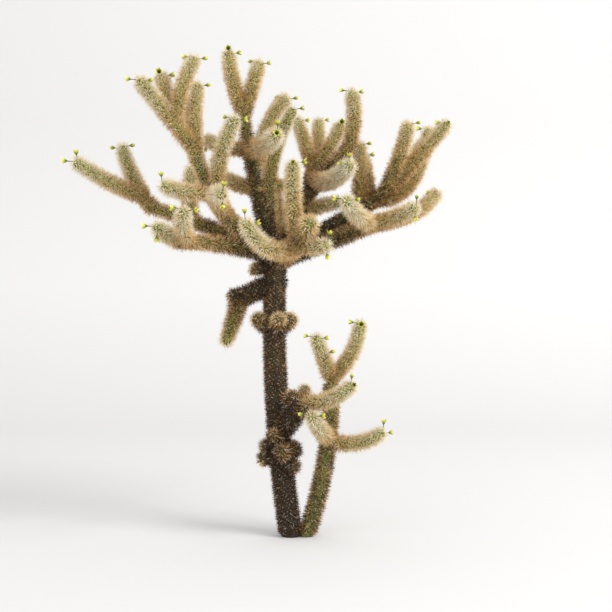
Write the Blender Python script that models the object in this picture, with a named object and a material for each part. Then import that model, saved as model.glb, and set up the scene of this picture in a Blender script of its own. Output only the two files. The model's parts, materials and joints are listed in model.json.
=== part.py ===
"""Cholla cactus, 1.8 m tall: a trunk and a second stem from one foot, a wide crown of jointed spiny arms,
and yellow cup flowers at the arms' ends. Metres, +Z up, front towards -Y. The origin is in the middle of the
trunk's flat cut at the ground.

Each limb is one tapering tube whose faces rise into blunt spikes, the tufts of spines. A limb starts inside
the one that it grows from, and is then cut 0.4 mm clear of it.
"""

import math
from typing import NamedTuple

import bmesh
import bpy
import numpy as np
from mathutils import Vector

# ---------------------------------------------------------------- driving sizes
ARM_GIRTH = 0.0225  # radius of an arm, to the foot of its tufts, near its tip
SWELL = 0.07  # an arm is this much fatter in the middle
YOUNG_TUFT, OLD_TUFT = 0.0135, 0.010  # how far a tuft of spines stands out, on arms and on the two stems
TUFT_SPACING = 0.052  # distance between the rings of tufts along a limb
RING_TURN = math.radians(30)  # each ring of tufts is turned by this against the last
TIP_SPINES, TIP_NARROWING = 0.013, 0.5  # spines beyond the end of an arm's flesh, and how far that narrows
LEAST_TUFT_FOOT = 0.00016  # a face smaller than this, in square metres, rises into no tuft
JOINT_GAP = 0.0004  # clearance where one limb meets another
TUFT_ROOM = 0.005  # how far a tuft keeps from another limb's spines
SKIN_ROOM = 0.006  # how far the foot of a tuft keeps from another limb's flesh

TRUNK_HEIGHT, TRUNK_FOOT, TRUNK_TOP = 1.05, 0.042, 0.04
STEM_HEIGHT, STEM_FOOT, STEM_TOP = 0.585, 0.032, 0.028
BELOW_GROUND = 0.05  # the stems are made this much too long, and cut flat at the ground

STALK_END, STALK_RADIUS = 0.031, 0.0028  # the stalk's end is this far from the arm's middle line
CUP_LENGTH, CUP_RADIUS, CUP_DEPTH = 0.019, 0.012, 0.010
BLOOM_ROOM = 0.012  # a flower grows only where its cup is this far from any other limb's spines
BLOOM_BACK = (0.024, 0.032, 0.085)  # where an arm's flowers stand, measured back from its tip
BLOOM_LEAN = 0.15  # how far a flower leans along its arm, against 1 sideways

OLD, DRY, BOUGH, YOUNG = 0.0, 0.3, 0.45, 1.0  # the age of a limb's coat, dark to pale
OLD_COLOUR, YOUNG_COLOUR = (0.055, 0.036, 0.022), (0.42, 0.34, 0.21)


class Limb(NamedTuple):
    """One joint or bough: where it grows, where it ends, and how it bends on the way."""

    name: str
    parent: str
    at: float  # how far along its parent it grows, 0 to 1
    tip: tuple  # where its spines end
    belly: tuple  # how far its middle stands off the straight line from root to tip
    girth: float  # radius of its flesh at its root
    blooms: str = ""  # the side for each flower: East, West, Up, Down, Front or Back
    coat: float = YOUNG
    tip_girth: float = ARM_GIRTH
    sides: int = 6
    tuft: float = YOUNG_TUFT
    fused: bool = False  # a stub that is one piece with its parent


STEMS = [
    Limb("trunk", "", 0, (-0.055, 0, TRUNK_HEIGHT), (-0.0265, 0, 0), TRUNK_FOOT, coat=OLD,
         tip_girth=TRUNK_TOP, sides=8, tuft=OLD_TUFT),
    Limb("second_stem", "", 0, (0.147, 0, STEM_HEIGHT), (0.028, 0, 0), STEM_FOOT, coat=DRY,
         tip_girth=STEM_TOP, tuft=OLD_TUFT),
]
STEM_ROOTS = {"trunk": (0, 0, 0), "second_stem": (0.055, 0, 0)}

LEFT = [
    Limb("left_bough", "trunk", 0.985, (-0.535, 0.02, 1.215), (0.005, 0.02, 0.005), 0.031, coat=BOUGH),
    Limb("left_upright_arm", "left_bough", 0.96, (-0.635, 0.04, 1.46), (-0.008, -0.01, -0.015),
         0.027, "EW"),
    Limb("left_end_arm", "left_upright_arm", 0.2, (-0.79, -0.1, 1.375), (0, -0.01, -0.015), 0.027, "WU"),
    Limb("left_rear_arm", "left_bough", 0.66, (-0.375, 0.12, 1.385), (-0.01, 0.005, 0), 0.026),
    Limb("low_left_bough", "trunk", 0.975, (-0.375, -0.26, 1.065), (-0.005, 0.03, 0.015),
         0.03, coat=BOUGH),
    Limb("low_left_end_arm", "low_left_bough", 0.97, (-0.455, -0.38, 1.12), (0, 0.005, -0.01),
         0.026, "WD"),
    Limb("low_left_front_arm", "low_left_bough", 0.9, (-0.335, -0.42, 1.175), (-0.015, -0.04, -0.015),
         0.025,
         "WE"),
    Limb("high_left_bough", "trunk", 0.99, (-0.35, -0.16, 1.425), (-0.03, -0.02, -0.06),
         0.033, coat=BOUGH),
    Limb("high_left_end_arm", "high_left_bough", 0.97, (-0.54, -0.2, 1.645), (-0.01, 0.01, 0.015),
         0.027, "WE"),
    Limb("high_left_fork_arm", "high_left_end_arm", 0.4, (-0.47, -0.08, 1.68), (0, 0.025, 0.03),
         0.021, "FE"),
    Limb("high_left_upright_arm", "high_left_end_arm", 0.3, (-0.33, -0.12, 1.74), (-0.005, 0, 0.02),
         0.024, "WE"),
    Limb("high_left_rear_arm", "high_left_bough", 0.9, (-0.335, -0.04, 1.655), (-0.01, 0, 0.03),
         0.023, "E"),
    Limb("high_left_inner_arm", "high_left_bough", 0.6, (-0.175, -0.24, 1.51), (-0.025, -0.02, 0),
         0.026, "WE"),
    Limb("high_left_side_arm", "high_left_bough", 0.68, (-0.45, -0.28, 1.265), (0, -0.03, -0.02),
         0.025, "U"),
    Limb("high_left_front_arm", "high_left_bough", 0.5, (-0.21, -0.38, 1.205), (-0.03, -0.04, 0.03),
         0.026, "UD"),
]
MIDDLE = [
    Limb("middle_bough", "trunk", 0.99, (-0.185, 0.05, 1.595), (0, 0.005, -0.07), 0.031, coat=BOUGH),
    Limb("middle_end_arm", "middle_bough", 0.97, (-0.232, 0.05, 1.81), (-0.013, 0, 0.005), 0.026, "FE"),
    Limb("middle_fork_arm", "middle_bough", 0.95, (-0.115, 0.09, 1.775), (0.006, 0, 0.015), 0.025, "WE"),
    Limb("middle_left_arm", "middle_bough", 0.78, (-0.345, 0.22, 1.5), (-0.02, 0.03, -0.005),
         0.024, "WD"),
    Limb("middle_low_left_arm", "middle_bough", 0.55, (-0.275, 0.2, 1.35), (-0.02, 0.015, 0), 0.024, "B"),
    Limb("middle_right_arm", "middle_bough", 0.66, (-0.005, 0.1, 1.635), (-0.005, 0.01, 0.05),
         0.024, "WE"),
    Limb("middle_front_arm", "middle_bough", 0.78, (-0.035, -0.26, 1.44), (0, -0.02, -0.02),
         0.028, "UF", tip_girth=0.026),
    Limb("inner_bough", "middle_bough", 0.12, (0.015, 0.18, 1.62), (-0.05, 0.045, 0.015),
         0.028, "EB", coat=DRY),
    Limb("inner_stub", "inner_bough", 0.4, (0.01, 0.14, 1.31), (0.005, 0.01, -0.01), 0.022, fused=True),
    Limb("rear_bough", "trunk", 0.98, (0.08, 0.26, 1.4), (0.03, 0.01, -0.025), 0.03, coat=BOUGH),
    Limb("rear_left_arm", "rear_bough", 0.97, (0.01, 0.34, 1.61), (0.005, 0.005, 0), 0.025, "WE"),
    Limb("rear_end_arm", "rear_bough", 0.98, (0.105, 0.42, 1.62), (0.01, 0.02, -0.01), 0.022, "EB"),
    Limb("rear_fork_arm", "rear_bough", 0.96, (0.2, 0.3, 1.58), (0.015, -0.015, 0), 0.024, "FB"),
    Limb("rear_right_knee", "rear_bough", 0.76, (0.225, 0.1, 1.455), (0.01, 0.01, 0.005),
         0.03, coat=BOUGH, tip_girth=0.026),
    Limb("rear_right_arm", "rear_right_knee", 0.93, (0.215, 0.04, 1.66), (0.02, -0.005, 0.01),
         0.026, "WE"),
    Limb("rear_front_arm", "rear_bough", 0.88, (0.22, -0.12, 1.36), (0, -0.005, -0.04),
         0.03, "WU", tip_girth=0.026),
    Limb("rear_low_arm", "rear_bough", 0.52, (0.205, 0.12, 1.235), (0, 0.025, 0.015), 0.024),
]
FRONT = [
    Limb("front_bough", "trunk", 0.965, (0.03, -0.32, 1.06), (0, 0.01, -0.02), 0.028, coat=BOUGH),
    Limb("front_upright_arm", "front_bough", 0.97, (0.015, -0.36, 1.34), (-0.01, -0.025, 0), 0.026, "EF"),
    Limb("front_left_arm", "front_bough", 0.9, (-0.155, -0.42, 1.145), (-0.01, -0.03, -0.06), 0.026, "UE"),
    Limb("front_right_arm", "front_bough", 0.92, (0.15, -0.34, 1.055), (0, -0.015, -0.01), 0.024, "UD"),
    Limb("front_stub", "front_bough", 0.95, (0.075, -0.41, 1.14), (0.005, -0.01, 0),
         0.032, coat=DRY, tip_girth=0.031, fused=True),
]
RIGHT = [
    Limb("right_bough", "trunk", 0.985, (0.36, 0.06, 1.28), (0.01, 0.02, -0.01), 0.031, coat=BOUGH),
    Limb("right_upright_arm", "right_bough", 0.97, (0.435, 0, 1.53), (0.015, 0, 0.015), 0.024, "E"),
    Limb("right_end_arm", "right_bough", 0.98, (0.6, 0.08, 1.545), (0.005, 0.01, 0), 0.026, "WF"),
    Limb("right_rear_arm", "right_bough", 0.86, (0.535, 0.22, 1.56), (0.04, 0.04, -0.08), 0.024, "W"),
    Limb("right_inner_arm", "right_bough", 0.72, (0.26, 0.16, 1.48), (0.005, 0.02, 0.01), 0.024, "E"),
    Limb("right_middle_arm", "right_bough", 0.82, (0.27, 0.2, 1.44), (0.005, 0.03, 0.01), 0.023, "E"),
    Limb("low_right_bough", "trunk", 0.96, (0.315, -0.08, 1.145), (0.015, 0.02, 0.005),
         0.031, coat=BOUGH, tip_girth=0.027),
    Limb("low_right_end_arm", "low_right_bough", 0.97, (0.455, -0.18, 1.2), (0.01, 0.01, -0.005),
         0.029, "UD"),
    Limb("low_right_front_arm", "low_right_bough", 0.93, (0.18, -0.3, 1.22), (0, -0.015, -0.02),
         0.027, "WE"),
    Limb("low_right_rear_arm", "low_right_bough", 0.97, (0.565, 0.16, 1.29), (0.025, 0.02, -0.025),
         0.022, "W"),
]
BACK = [
    Limb("back_left_bough", "trunk", 0.96, (-0.4, 0.46, 1.48), (-0.025, 0.05, -0.05), 0.028, coat=BOUGH),
    Limb("back_left_arm", "back_left_bough", 0.97, (-0.435, 0.58, 1.79), (-0.025, 0.025, -0.01),
         0.025, "WB"),
    Limb("back_middle_bough", "trunk", 0.985, (-0.145, 0.5, 1.535), (0.04, 0.03, -0.04), 0.028, "BE"),
    Limb("back_right_bough", "trunk", 0.96, (0.4, 0.46, 1.315), (-0.005, 0.02, -0.01), 0.029, coat=BOUGH),
    Limb("back_right_arm", "back_right_bough", 0.97, (0.55, 0.54, 1.55), (0, 0.005, -0.01), 0.025, "EB"),
]
LOW = [
    Limb("stem_left_arm", "second_stem", 0.98, (0.08, -0.04, 0.755), (0.005, 0, -0.005), 0.026, "WEE"),
    Limb("stem_right_arm", "second_stem", 0.99, (0.26, 0.04, 0.805), (0.024, 0, -0.015), 0.026, "WF"),
    Limb("stem_low_left_arm", "second_stem", 0.62, (0.065, -0.18, 0.48), (0.005, -0.01, -0.02),
         0.026, "WE"),
    Limb("stem_low_right_arm", "second_stem", 0.6, (0.35, -0.06, 0.405), (0.01, -0.01, -0.03),
         0.025, "UE"),
    Limb("side_limb", "trunk", 0.365, (0.05, -0.08, 0.505), (0, -0.01, -0.005),
         0.042, coat=DRY, tip_girth=0.034),
    Limb("side_limb_arm", "side_limb", 0.93, (0.235, -0.18, 0.585), (0.005, -0.01, -0.025), 0.026, "FU"),
    Limb("hanging_limb", "trunk", 0.885, (-0.2, -0.02, 0.86), (-0.01, 0, 0),
         0.037, coat=OLD, tip_girth=0.033),
    Limb("hanging_arm", "hanging_limb", 0.88, (-0.25, -0.02, 0.68), (0.008, 0, 0.015), 0.033, coat=DRY),
]
# Short old joints, each one piece with the limb that carries it.
STUBS = [
    Limb(name, parent, at, tip, belly, girth, coat=DRY, tip_girth=0.95 * girth, fused=True)
    for name, parent, at, tip, belly, girth in [
        ("stub_top", "trunk", 0.955, (-0.155, -0.02, 0.985), (-0.015, -0.01, -0.015), 0.024),
        ("stub_left", "trunk", 0.725, (-0.142, -0.02, 0.833), (-0.005, -0.01, -0.015), 0.03),
        ("stub_front", "trunk", 0.74, (-0.042, -0.1, 0.83), (0.005, -0.02, -0.02), 0.027),
        ("stub_right", "trunk", 0.725, (0.022, -0.03, 0.83), (0.005, -0.01, -0.015), 0.029),
        ("foot_stub_west", "trunk", 0.31, (-0.128, -0.03, 0.335), (0.005, -0.01, 0), 0.03),
        ("foot_stub_low", "trunk", 0.27, (-0.13, -0.05, 0.275), (0, -0.015, 0.015), 0.028),
        ("foot_stub_up", "trunk", 0.33, (-0.07, -0.08, 0.408), (0, -0.015, -0.01), 0.03),
        ("foot_stub_front", "trunk", 0.28, (-0.02, -0.11, 0.325), (0, -0.025, 0.01), 0.033),
        ("foot_stub_east", "trunk", 0.31, (0.048, -0.04, 0.332), (0, -0.005, -0.01), 0.036),
        ("foot_stub_east_low", "trunk", 0.25, (0.042, -0.05, 0.272), (0, -0.01, -0.005), 0.03),
        ("hanging_stub", "hanging_limb", 0.7, (-0.247, -0.02, 0.878), (0, 0, 0), 0.03),
        ("side_stub_left", "side_limb", 0.55, (0, -0.09, 0.555), (0, -0.005, 0), 0.033),
        ("side_stub_low", "side_limb", 0.7, (0.06, -0.13, 0.44), (0.005, -0.005, 0.02), 0.026),
        ("side_stub_rear", "side_limb", 0.9, (0.05, -0.03, 0.57), (0.005, 0.005, 0), 0.024),
    ]
]
LIMBS = STEMS + LEFT + MIDDLE + FRONT + RIGHT + BACK + LOW + STUBS
BY_NAME = {limb.name: limb for limb in LIMBS}


# ---------------------------------------------------------------- where each limb runs
def root_of(limb):
    return Vector(STEM_ROOTS[limb.name]) if not limb.parent else point_on(BY_NAME[limb.parent], limb.at)


def point_on(limb, t):
    """A point on the limb's middle line, bowed off the straight line by its belly."""
    root, tip = root_of(limb), Vector(limb.tip)
    return root.lerp(tip, t) + Vector(limb.belly) * (4 * t * (1 - t))


def length_of(limb, steps=24):
    line = [point_on(limb, step / steps) for step in range(steps + 1)]
    return sum((b - a).length for a, b in zip(line, line[1:]))


def girth_at(limb, t):
    """Radius of the flesh: an even taper with a slight swelling in the middle."""
    taper = limb.girth + (limb.tip_girth - limb.girth) * t
    return taper * (1 + SWELL * math.sin(math.pi * t) * (limb.coat == YOUNG))


def rings_of(limb):
    """(t, radius, turn) of each ring from root to tip; the last one narrows the end."""
    length = length_of(limb)
    end = 1 - TIP_SPINES / length
    dome = limb.tip_girth / length
    count = max(2, round((end - dome) * length / TUFT_SPACING))
    rings = [((end - dome) * ring / count, girth_at(limb, ring / count)) for ring in range(count + 1)]
    rings.append((end, limb.tip_girth * TIP_NARROWING))
    return [(t, radius, ring * RING_TURN) for ring, (t, radius) in enumerate(rings)]


def middle_line(limb, spacing=0.008):
    """Points along the limb, each with the radius of the flesh around it."""
    steps = max(2, round(length_of(limb) / spacing))
    reach = 1 - (TIP_SPINES + 0.6 * limb.tip_girth) / length_of(limb)
    return [
        (*point_on(limb, reach * step / steps), girth_at(limb, step / steps)) for step in range(steps + 1)
    ]


def nearest(line, other):
    """The least distance between the flesh of two limbs."""
    apart = np.linalg.norm(line[:, None, :3] - other[None, :, :3], axis=2)
    return (apart - line[:, None, 3] - other[None, :, 3]).min()


def room_round(place, line):
    """How far the place is outside the flesh of the limbs whose middle lines these are."""
    return (np.linalg.norm(line[:, :3] - np.array(place), axis=1) - line[:, 3]).min()


# ---------------------------------------------------------------- meshes
def tube(name, points, sides):
    """A mesh tube through (place, radius, turn), from a curve with a round bevel and filled caps."""
    curve = bpy.data.curves.new(name + "_line", "CURVE")
    curve.dimensions = "3D"
    curve.bevel_depth = 1
    curve.bevel_resolution = (sides - 4) // 2
    curve.use_fill_caps = True
    spline = curve.splines.new("POLY")
    spline.points.add(len(points) - 1)
    for point, (place, radius, turn) in zip(spline.points, points):
        point.co = (*place, 1)
        point.radius = radius
        point.tilt = turn
    guide = bpy.data.objects.new(name + "_line", curve)
    bpy.context.scene.collection.objects.link(guide)
    graph = bpy.context.evaluated_depsgraph_get()
    mesh = bpy.data.meshes.new_from_object(guide.evaluated_get(graph))
    bpy.data.objects.remove(guide)
    bpy.data.curves.remove(curve)
    mesh.name = name
    return mesh


def edit(mesh, change, weld=1e-6):
    """Runs change(bm) on the mesh, after its caps are welded to its sides."""
    bm = bmesh.new()
    bm.from_mesh(mesh)
    bmesh.ops.remove_doubles(bm, verts=bm.verts, dist=weld)
    change(bm)
    bmesh.ops.recalc_face_normals(bm, faces=bm.faces)
    bm.to_mesh(mesh)
    bm.free()
    return mesh


def end_face(bm, along):
    """The flat face at the tube's far end, made one from the pieces that fill it."""
    furthest = max(face.calc_center_median().dot(along) for face in bm.faces)
    pieces = [face for face in bm.faces if furthest - face.calc_center_median().dot(along) < 1e-5]
    return pieces[0] if len(pieces) == 1 else bmesh.ops.dissolve_faces(bm, faces=pieces)["region"][0]


def raise_tufts(bm, height, along, others):
    """Raises the end and each four-sided face into a spike, except where it would enter another limb's space."""
    def raise_one(face, rise):
        apex = face.calc_center_median() + face.normal * rise
        feet = min(room_round(corner.co, others) for corner in face.verts)
        if room_round(apex, others) > YOUNG_TUFT + TUFT_ROOM and feet > SKIN_ROOM:
            bmesh.ops.poke(bm, faces=[face], offset=rise, center_mode="MEAN")

    raise_one(end_face(bm, along), TIP_SPINES)
    for face in [face for face in bm.faces if len(face.verts) == 4 and face.calc_area() > LEAST_TUFT_FOOT]:
        raise_one(face, height)
    flat = [face for face in bm.faces if len(face.verts) > 3]
    bmesh.ops.triangulate(bm, faces=flat, quad_method="SHORT_EDGE")


def limb_mesh(limb, others):
    """The limb's tube with its tufts; where others is None, its bare flesh swollen by the clearance."""
    extra = JOINT_GAP / math.cos(math.pi / limb.sides) if others is None else 0
    points = [(point_on(limb, t), radius + extra, turn) for t, radius, turn in rings_of(limb)]
    if not limb.parent:
        points.insert(0, (points[0][0] - Vector((0, 0, BELOW_GROUND)), points[0][1], -RING_TURN))
    start = (points[1][0] - points[0][0]).normalized()
    along = (points[-1][0] - points[-2][0]).normalized()
    if others is None:
        points[0] = (points[0][0] - start * JOINT_GAP, *points[0][1:])
        points[-1] = (points[-1][0] + along * JOINT_GAP, *points[-1][1:])
        return edit(tube(limb.name + "_clearance", points, limb.sides), lambda bm: bmesh.ops.triangulate(
            bm, faces=bm.faces, quad_method="SHORT_EDGE"))
    return edit(tube(limb.name, points, limb.sides), lambda bm: raise_tufts(bm, limb.tuft, along, others))


SIDES = {
    "E": Vector((1, 0, 0)), "W": Vector((-1, 0, 0)), "U": Vector((0, 0, 1)),
    "D": Vector((0, 0, -1)), "F": Vector((0, -1, 0)), "B": Vector((0, 1, 0)),
}


def bloom_places(limb, others):
    """(root, direction) of each flower with room: it starts inside the flesh and leans along the arm."""
    for side, back in zip(limb.blooms, BLOOM_BACK):
        t = 1 - back / length_of(limb)
        along = (point_on(limb, t + 0.01) - point_on(limb, t)).normalized()
        direction = (SIDES[side] + along * BLOOM_LEAN).normalized()
        cup = point_on(limb, t) + direction * (STALK_END + CUP_LENGTH / 2)
        if room_round(cup, others) > YOUNG_TUFT + BLOOM_ROOM:
            yield point_on(limb, t), direction


def bloom_mesh(name, root, direction):
    """A stalk with a four-sided cup: its mouth is sunk, and its corners are four pointed petals."""
    line = [
        (root + direction * ARM_GIRTH * 0.5, STALK_RADIUS, 0),
        (root + direction * STALK_END, STALK_RADIUS, 0),
        (root + direction * (STALK_END + CUP_LENGTH), CUP_RADIUS, 0),
    ]

    def shape(bm):
        bmesh.ops.poke(bm, faces=[end_face(bm, direction)], offset=-CUP_DEPTH, center_mode="MEAN")

    return edit(tube(name, line, 4), shape)


# ---------------------------------------------------------------- objects
def new_collection(name):
    collection = bpy.data.collections.new(name)
    bpy.context.scene.collection.children.link(collection)
    return collection


def placed(mesh, collection):
    thing = bpy.data.objects.new(mesh.name, mesh)
    collection.objects.link(thing)
    return thing


def boolean(thing, operation, collection=None, cutter=None):
    """Joins or cuts the thing with a collection's objects or one cutter, which are then removed."""
    step = thing.modifiers.new(operation.title(), "BOOLEAN")
    step.operation = operation
    step.solver = "EXACT"
    step.operand_type = "COLLECTION" if collection else "OBJECT"
    step.collection, step.object = collection, cutter
    graph = bpy.context.evaluated_depsgraph_get()
    mesh = bpy.data.meshes.new_from_object(thing.evaluated_get(graph))
    thing.modifiers.clear()
    thing.data = mesh
    for tool in list(collection.objects) if collection else [cutter]:
        bpy.data.objects.remove(tool)


def keep_body_at(mesh, place):
    """Drops every loose scrap, and keeps the body whose surface comes nearest the place."""
    def change(bm):
        start = min(bm.faces, key=lambda face: (face.calc_center_median() - place).length)
        seen, queue = {start}, [start]
        while queue:
            for edge in queue.pop().edges:
                beside = [face for face in edge.link_faces if face not in seen]
                seen.update(beside)
                queue.extend(beside)
        bmesh.ops.delete(bm, geom=[face for face in bm.faces if face not in seen], context="FACES")
        bmesh.ops.dissolve_degenerate(bm, edges=bm.edges, dist=1e-5)
        bmesh.ops.triangulate(bm, faces=[face for face in bm.faces if len(face.verts) > 3])
    edit(mesh, change, weld=1e-7)


def coat_material(limb):
    """Dark dry spines on old wood, pale straw ones on young arms."""
    material = bpy.data.materials.new(limb.name)
    material.use_nodes = True
    shader = material.node_tree.nodes["Principled BSDF"]
    colour = Vector(OLD_COLOUR).lerp(Vector(YOUNG_COLOUR), limb.coat)
    shader.inputs["Base Color"].default_value = (*colour, 1)
    shader.inputs["Roughness"].default_value = 0.8
    shader.inputs["Metallic"].default_value = 0
    material.diffuse_color = (*colour, 1)
    return material


def ground_box():
    def box(bm):
        bmesh.ops.create_cube(bm, size=1)
        bmesh.ops.translate(bm, verts=bm.verts, vec=(0, 0, -0.5))
    return edit(bpy.data.meshes.new("below_ground"), box)


def build():
    for thing in list(bpy.data.objects):
        bpy.data.objects.remove(thing)
    plant = new_collection("cholla_cactus")
    joining, cutters = new_collection("joining"), new_collection("cutters")
    for collection in (joining, cutters):
        collection.hide_render = True

    lines = {limb.name: np.array(middle_line(limb)) for limb in LIMBS}
    finished = []
    for limb in LIMBS:
        if limb.fused:
            continue
        family = [limb] + [stub for stub in LIMBS if stub.fused and stub.parent == limb.name]
        others = {
            member.name: np.concatenate([line for name, line in lines.items() if name != member.name])
            for member in family
        }
        thing = placed(limb_mesh(limb, others[limb.name]), plant)
        for member in family:
            if member is not limb:
                placed(limb_mesh(member, others[member.name]), joining)
            for count, (root, direction) in enumerate(bloom_places(member, others[member.name])):
                placed(bloom_mesh(f"{member.name}_bloom_{count}", root, direction), joining)
        if joining.objects:
            boolean(thing, "UNION", collection=joining)

        for other in finished:
            if nearest(lines[limb.name], lines[other.name]) < 2 * JOINT_GAP:
                boolean(thing, "DIFFERENCE", cutter=placed(limb_mesh(other, None), cutters))
        if not limb.parent:
            boolean(thing, "DIFFERENCE", cutter=placed(ground_box(), cutters))
        keep_body_at(thing.data, Vector(limb.tip))
        thing.data.materials.clear()
        thing.data.materials.append(coat_material(limb))
        thing.data.shade_smooth()
        thing.data.set_sharp_from_angle(angle=math.radians(40))
        finished += family

    bpy.data.collections.remove(joining)
    bpy.data.collections.remove(cutters)
    print(f"{len(plant.objects)} nodes, {sum(len(thing.data.polygons) for thing in plant.objects)} triangles")


build()
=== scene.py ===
# %% [markdown]
# A cholla cactus, 1.8 m tall, dressed for the camera.
#
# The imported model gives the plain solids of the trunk, the boughs and the arms. This script grows the real
# surface over them: green flesh with rows of low bumps, a coat of over a quarter of a million needles, and
# small yellow cup flowers. Every limb is worked out again here from the same named sizes and the same growth
# rule as the solids, so each piece stands exactly where its solid stands.

# %% Load the frame
import json
import math
from typing import NamedTuple

import bpy
import numpy as np
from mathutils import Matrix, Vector
from mathutils.kdtree import KDTree

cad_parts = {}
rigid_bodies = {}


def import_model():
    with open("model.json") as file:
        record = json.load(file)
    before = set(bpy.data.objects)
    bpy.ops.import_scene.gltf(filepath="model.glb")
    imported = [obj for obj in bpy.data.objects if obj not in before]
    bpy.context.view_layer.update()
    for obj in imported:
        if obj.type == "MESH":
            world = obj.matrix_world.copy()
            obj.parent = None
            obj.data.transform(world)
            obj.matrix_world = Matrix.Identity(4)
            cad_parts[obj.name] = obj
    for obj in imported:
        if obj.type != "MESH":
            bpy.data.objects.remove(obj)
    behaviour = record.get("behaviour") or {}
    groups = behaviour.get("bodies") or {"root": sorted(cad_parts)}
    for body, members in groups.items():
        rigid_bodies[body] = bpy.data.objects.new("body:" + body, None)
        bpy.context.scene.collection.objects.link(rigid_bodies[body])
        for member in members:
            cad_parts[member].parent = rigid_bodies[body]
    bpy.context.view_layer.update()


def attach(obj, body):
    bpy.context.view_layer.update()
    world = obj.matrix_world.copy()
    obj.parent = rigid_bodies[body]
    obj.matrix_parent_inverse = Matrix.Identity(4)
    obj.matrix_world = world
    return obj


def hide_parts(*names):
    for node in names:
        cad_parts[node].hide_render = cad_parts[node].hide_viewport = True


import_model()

# %% [markdown]
# The camera stands level, 3.7 m in front of the plant and 0.84 m above the ground, with a lens of 60 mm. A
# long lens from that far keeps the trunk's foot and the crown's top at the same scale.

# %% Camera
CAMERA_PLACE = (0.055, -3.745, 0.844)
LENS, SENSOR = 60, 36  # millimetres


def new_object(name, data):
    """An object at the origin, in the scene."""
    thing = bpy.data.objects.new(name, data)
    bpy.context.scene.collection.objects.link(thing)
    return thing


camera = new_object("camera", bpy.data.cameras.new("camera"))
camera.data.lens, camera.data.sensor_width = LENS, SENSOR
camera.location = CAMERA_PLACE
camera.rotation_euler = (math.radians(90), 0, 0)  # level, facing the plant
bpy.context.scene.camera = camera

# %% [markdown]
# Materials and growth rules are trees of nodes. One helper adds a node, with its settings and its inputs. An
# input may be a plain value, a socket, or another node, which then gives its first output.

# %% Node helpers
def fill(node, inputs):
    """Links or sets the node's inputs."""
    for socket, value in inputs.items():
        if isinstance(value, bpy.types.Node):
            value = next(output for output in value.outputs if output.enabled)
        if isinstance(value, bpy.types.NodeSocket):
            node.id_data.links.new(value, node.inputs[socket])
        else:
            node.inputs[socket].default_value = value


def adder(tree):
    """The function that adds a node to this tree."""
    def add(kind, inputs={}, **settings):
        node = tree.nodes.new(kind)
        for label, value in settings.items():
            setattr(node, label, value)
        fill(node, inputs)
        return node
    return add


def new_tree(name, kind, inputs, outputs):
    """(the new node group, its inputs, its output node, the function that adds a node to it)"""
    tree = bpy.data.node_groups.new(name, kind)
    for label, socket, value in inputs:
        made = tree.interface.new_socket(label, in_out="INPUT", socket_type="NodeSocket" + socket)
        if value is not None:
            made.default_value = value
    for label, socket in outputs.items():
        tree.interface.new_socket(label, in_out="OUTPUT", socket_type="NodeSocket" + socket)
    add = adder(tree)
    return tree, add("NodeGroupInput").outputs, add("NodeGroupOutput"), add


def inputs_of(tree):
    return [item for item in tree.interface.items_tree if item.in_out == "INPUT"]


def new_material(name):
    """(a new material, its Principled shader, the function that adds a node to it)"""
    material = bpy.data.materials.new(name)
    material.use_nodes = True
    return material, material.node_tree.nodes["Principled BSDF"], adder(material.node_tree)


def plain_material(name, colour, roughness, gloss=0.5):
    """A Principled material of one colour."""
    material, shader, _ = new_material(name)
    fill(shader, {"Base Color": (*colour, 1), "Roughness": roughness, "Specular IOR Level": gloss})
    material.diffuse_color = (*colour, 1)
    return material


# %% [markdown]
# The studio is one pale sheet: a flat floor that sweeps up into a backdrop without a corner, so no line shows
# behind the plant. Its outline is a straight floor, a quarter circle and a straight wall, drawn once and
# spread sideways.

# %% Floor and backdrop
FLOOR_FRONT, FLOOR_BACK, SWEEP_RADIUS, WALL_TOP, STUDIO_HALF_WIDTH = -9.0, 3.2, 2.6, 9.0, 11.0
SWEEP_STEPS = 24
FLOOR_COLOUR, WALL_COLOUR, PAPER_ROUGHNESS = (0.645, 0.642, 0.638), (0.71, 0.708, 0.704), 0.9
PAPER_FADE = 1.0  # the floor's tone has become the wall's at this height


def new_mesh(name, verts, faces, material=None, smooth=True):
    mesh = bpy.data.meshes.new(name)
    mesh.from_pydata(verts, [], faces)
    if material:
        mesh.materials.append(material)
    if smooth:
        mesh.shade_smooth()
    return mesh


def paper_material():
    """Paper that is a little darker on the floor, where the lamp shines more squarely on it."""
    material = plain_material("studio_paper", WALL_COLOUR, PAPER_ROUGHNESS)
    add = adder(material.node_tree)
    place = add("ShaderNodeSeparateXYZ", {"Vector": add("ShaderNodeTexCoord").outputs["Object"]})
    fade = add("ShaderNodeMapRange", {"Value": place.outputs["Z"], "From Max": PAPER_FADE})
    tone = add("ShaderNodeMix", {"Factor": fade, "A": (*FLOOR_COLOUR, 1), "B": (*WALL_COLOUR, 1)},
               data_type="RGBA")
    fill(material.node_tree.nodes["Principled BSDF"], {"Base Color": tone})
    return material


def studio_sweep():
    outline = [(FLOOR_FRONT, 0.0)]
    for step in range(SWEEP_STEPS + 1):
        turn = math.pi / 2 * step / SWEEP_STEPS
        outline.append((FLOOR_BACK + SWEEP_RADIUS * math.sin(turn), SWEEP_RADIUS * (1 - math.cos(turn))))
    outline.append((FLOOR_BACK + SWEEP_RADIUS, WALL_TOP))
    verts = [(side * STUDIO_HALF_WIDTH, y, z) for side in (-1, 1) for y, z in outline]
    count = len(outline)
    faces = [(i, i + count, i + count + 1, i + 1) for i in range(count - 1)]
    return new_object("studio_sweep", new_mesh("studio_sweep", verts, faces, paper_material()))


sweep = studio_sweep()

# %% [markdown]
# The light is soft. One large lamp stands to the right, a little in front of and above the crown, and draws
# the faint shadow that runs from the foot to the left. A pale world fills the shadows from all sides.

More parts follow.
